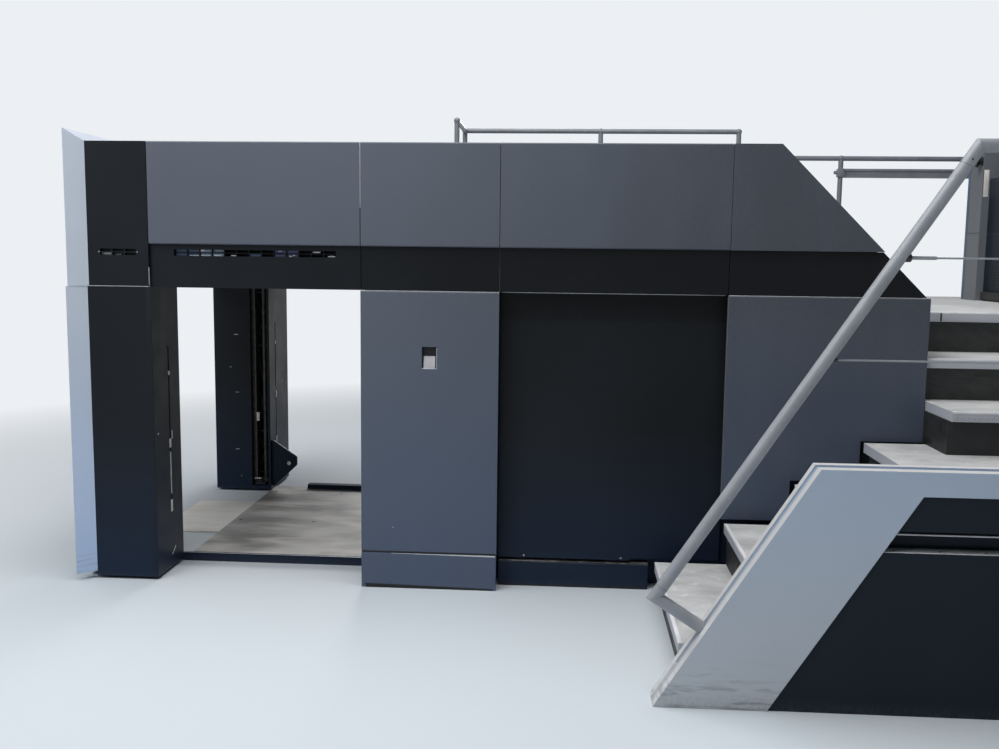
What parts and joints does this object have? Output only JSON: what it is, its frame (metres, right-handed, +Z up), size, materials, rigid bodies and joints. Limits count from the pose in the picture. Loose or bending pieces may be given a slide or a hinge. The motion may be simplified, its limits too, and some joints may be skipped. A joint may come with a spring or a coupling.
{
  "type": "offset printing press delivery section",
  "caption": "Delivery end of a sheet-fed offset press: clad portal and long hood with sloped end, pile well, side stair with gallery and handrail, cross platform and first printing unit.",
  "frame": {"origin": "on the floor, under the middle of the model's footprint", "axes": "+X along the press from the delivery towards the printing units, +Y away from the operator's side, +Z up"},
  "size_m": [6.439, 4.162, 2.628],
  "materials": {
    "slate_paint": "fine-textured slate grey paint",
    "black_paint": "satin black paint",
    "silver_paint": "metallic silver paint",
    "navy_paint": "satin navy paint",
    "unit_paint": "grey paint",
    "tread_metal": "worn studded aluminium",
    "floor_plate": "scuffed steel plate",
    "tube_paint": "grey-blue tube paint",
    "spindle_steel": "greased steel",
    "grille_metal": "bare aluminium"
  },
  "bodies": {
    "root": {"front_trim_upper": "silver_paint", "front_trim_near": "silver_paint", "front_trim_far": "silver_paint", "near_pillar": "black_paint", "far_pillar": "black_paint", "lift_spindles": "spindle_steel", "guard_bracket": "black_paint", "near_corner_column": "black_paint", "front_header": "slate_paint", "hood_housing": "black_paint", "near_hood_panel_1": "slate_paint", "near_hood_panel_2": "slate_paint", "near_hood_panel_3": "slate_paint", "near_slope_panel": "slate_paint", "far_hood_panels": "slate_paint", "near_band": "black_paint", "far_band": "black_paint", "slot_grille": "grille_metal", "top_covers": "slate_paint", "slope_covers": "slate_paint", "delivery_body": "black_paint", "service_cover": "slate_paint", "service_frame": "black_paint", "kick_panel": "slate_paint", "recess_panel": "black_paint", "base_plinth": "black_paint", "stepped_panel": "slate_paint", "far_side_panels": "slate_paint", "pile_floor_plates": "floor_plate", "pallet_stop": "black_paint", "lower_treads": "tread_metal", "lower_risers": "black_paint", "gallery_deck": "tread_metal", "cross_treads": "tread_metal", "cross_base": "black_paint", "cross_platform": "tread_metal", "gallery_side_frame": "silver_paint", "gallery_cladding": "navy_paint", "handrail": "tube_paint", "knee_rods": "tube_paint", "far_walkway": "tread_metal", "walkway_guard": "tube_paint", "far_guard": "tube_paint", "corner_cabinet": "unit_paint", "unit_body": "slate_paint"}
  },
  "joints": []
}
